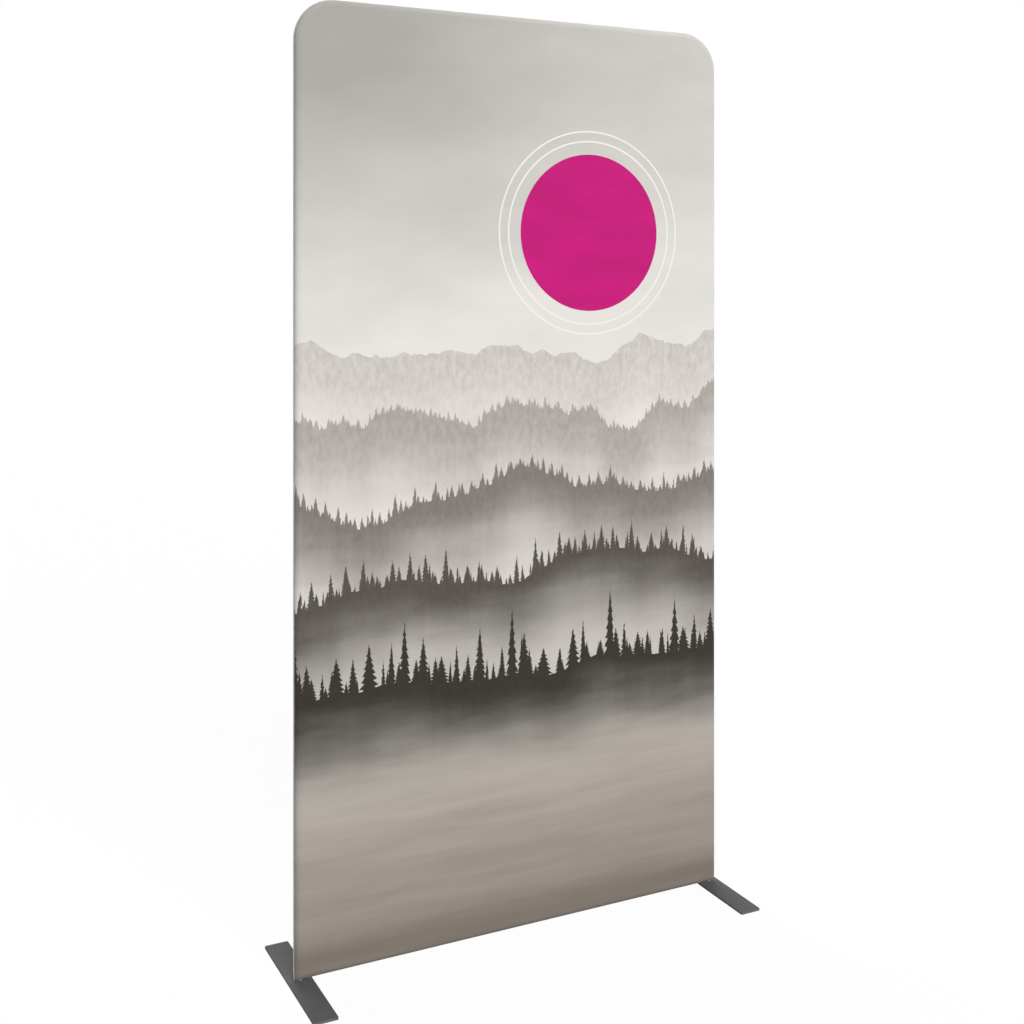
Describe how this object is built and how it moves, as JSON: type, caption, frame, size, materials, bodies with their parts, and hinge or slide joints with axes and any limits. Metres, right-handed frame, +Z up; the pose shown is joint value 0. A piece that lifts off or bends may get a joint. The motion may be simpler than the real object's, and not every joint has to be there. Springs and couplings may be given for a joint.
{
  "type": "banner display",
  "caption": "Free-standing tube-frame banner display: stretch-fabric cover with rounded top corners zipped over a knock-down frame on flat swivelling feet.",
  "frame": {"origin": "on the floor, midway between the two feet, in the middle plane of the cover", "axes": "+X across the display, -Y towards its printed front, +Z up"},
  "size_m": [1.2282, 0.39, 2.34],
  "materials": {
    "front_print": "stretch knit polyester, matt, printed",
    "back_cloth": "stretch knit polyester, matt, plain",
    "zip_tape": "woven tape with a nylon coil",
    "zip_stop": "moulded nylon",
    "zip_metal": "nickel plated die casting",
    "frame_tube": "satin anodised",
    "sleeve": "mill finish",
    "rivet": "bright",
    "snap_button": "zinc plated",
    "leaf_spring": "blued spring steel",
    "foot_bush": "turned, zinc plated",
    "foot_screw": "zinc plated",
    "foot_coat": "fine-textured powder coat, dark grey",
    "foot_pad": "matt black"
  },
  "bodies": {
    "frame": {"front_panel": "front_print", "back_panel": "back_cloth", "lower_back_panel": "back_cloth", "zip_upper_tape": "zip_tape", "zip_lower_tape": "zip_tape", "zip_stops": "zip_stop", "top_bar": "frame_tube", "bottom_bar": "frame_tube", "left_lower_upright": "frame_tube", "left_upper_upright": "frame_tube", "left_corner_elbow": "frame_tube", "left_foot_bush": "foot_bush", "left_foot_screw": "foot_screw", "left_upright_sleeve": "sleeve", "left_upright_leaf_spring": "leaf_spring", "left_elbow_sleeve": "sleeve", "left_elbow_leaf_spring": "leaf_spring", "left_top_sleeve": "sleeve", "left_top_leaf_spring": "leaf_spring", "left_bottom_sleeve": "sleeve", "left_bottom_leaf_spring": "leaf_spring", "right_lower_upright": "frame_tube", "right_upper_upright": "frame_tube", "right_corner_elbow": "frame_tube", "right_foot_bush": "foot_bush", "right_foot_screw": "foot_screw", "right_upright_sleeve": "sleeve", "right_upright_leaf_spring": "leaf_spring", "right_elbow_sleeve": "sleeve", "right_elbow_leaf_spring": "leaf_spring", "right_top_sleeve": "sleeve", "right_top_leaf_spring": "leaf_spring", "right_bottom_sleeve": "sleeve", "right_bottom_leaf_spring": "leaf_spring", "sleeve_rivets": "rivet"},
    "left_foot": {"left_foot_plate": "foot_coat", "left_foot_pads": "foot_pad"},
    "right_foot": {"right_foot_plate": "foot_coat", "right_foot_pads": "foot_pad"},
    "left_upright_button": {"left_upright_snap_button": "snap_button"},
    "left_elbow_button": {"left_elbow_snap_button": "snap_button"},
    "left_top_button": {"left_top_snap_button": "snap_button"},
    "left_bottom_button": {"left_bottom_snap_button": "snap_button"},
    "right_upright_button": {"right_upright_snap_button": "snap_button"},
    "right_elbow_button": {"right_elbow_snap_button": "snap_button"},
    "right_top_button": {"right_top_snap_button": "snap_button"},
    "right_bottom_button": {"right_bottom_snap_button": "snap_button"},
    "zip_slider": {"zip_slider": "zip_metal"},
    "zip_pull": {"zip_pull": "zip_metal"}
  },
  "joints": [
    {"name": "left_foot_swivel", "type": "hinge", "parent": "frame", "child": "left_foot", "pos_m": [-0.5841, 0, 0.0065], "axis": [0, 0, 1], "range_deg": [-90, 90]},
    {"name": "right_foot_swivel", "type": "hinge", "parent": "frame", "child": "right_foot", "pos_m": [0.5841, 0, 0.0065], "axis": [0, 0, 1], "range_deg": [-90, 90]},
    {"name": "left_upright_button_press", "type": "slide", "parent": "frame", "child": "left_upright_button", "axis": [-1, 0, 0], "range_m": [0, 0.0048], "stiffness_N_per_m": 300, "springref_m": -0.006, "deforming": ["left_upright_leaf_spring"]},
    {"name": "left_elbow_button_press", "type": "slide", "parent": "frame", "child": "left_elbow_button", "axis": [-1, 0, 0], "range_m": [0, 0.0048], "stiffness_N_per_m": 300, "springref_m": -0.006, "deforming": ["left_elbow_leaf_spring"]},
    {"name": "left_top_button_press", "type": "slide", "parent": "frame", "child": "left_top_button", "axis": [0, 0, 1], "range_m": [0, 0.0048], "stiffness_N_per_m": 300, "springref_m": -0.006, "deforming": ["left_top_leaf_spring"]},
    {"name": "left_bottom_button_press", "type": "slide", "parent": "frame", "child": "left_bottom_button", "axis": [0, 0, -1], "range_m": [0, 0.0048], "stiffness_N_per_m": 300, "springref_m": -0.006, "deforming": ["left_bottom_leaf_spring"]},
    {"name": "right_upright_button_press", "type": "slide", "parent": "frame", "child": "right_upright_button", "axis": [1, 0, 0], "range_m": [0, 0.0048], "stiffness_N_per_m": 300, "springref_m": -0.006, "deforming": ["right_upright_leaf_spring"]},
    {"name": "right_elbow_button_press", "type": "slide", "parent": "frame", "child": "right_elbow_button", "axis": [1, 0, 0], "range_m": [0, 0.0048], "stiffness_N_per_m": 300, "springref_m": -0.006, "deforming": ["right_elbow_leaf_spring"]},
    {"name": "right_top_button_press", "type": "slide", "parent": "frame", "child": "right_top_button", "axis": [0, 0, 1], "range_m": [0, 0.0048], "stiffness_N_per_m": 300, "springref_m": -0.006, "deforming": ["right_top_leaf_spring"]},
    {"name": "right_bottom_button_press", "type": "slide", "parent": "frame", "child": "right_bottom_button", "axis": [0, 0, -1], "range_m": [0, 0.0048], "stiffness_N_per_m": 300, "springref_m": -0.006, "deforming": ["right_bottom_leaf_spring"]},
    {"name": "zip_slide", "type": "slide", "parent": "frame", "child": "zip_slider", "axis": [-1, 0, 0], "range_m": [0, 1.091], "deforming": ["zip_upper_tape", "zip_lower_tape"]},
    {"name": "zip_pull_flap", "type": "hinge", "parent": "zip_slider", "child": "zip_pull", "pos_m": [0.5458, 0.0188, 0.0604], "axis": [0, 0, -1], "range_deg": [0, 180]}
  ]
}
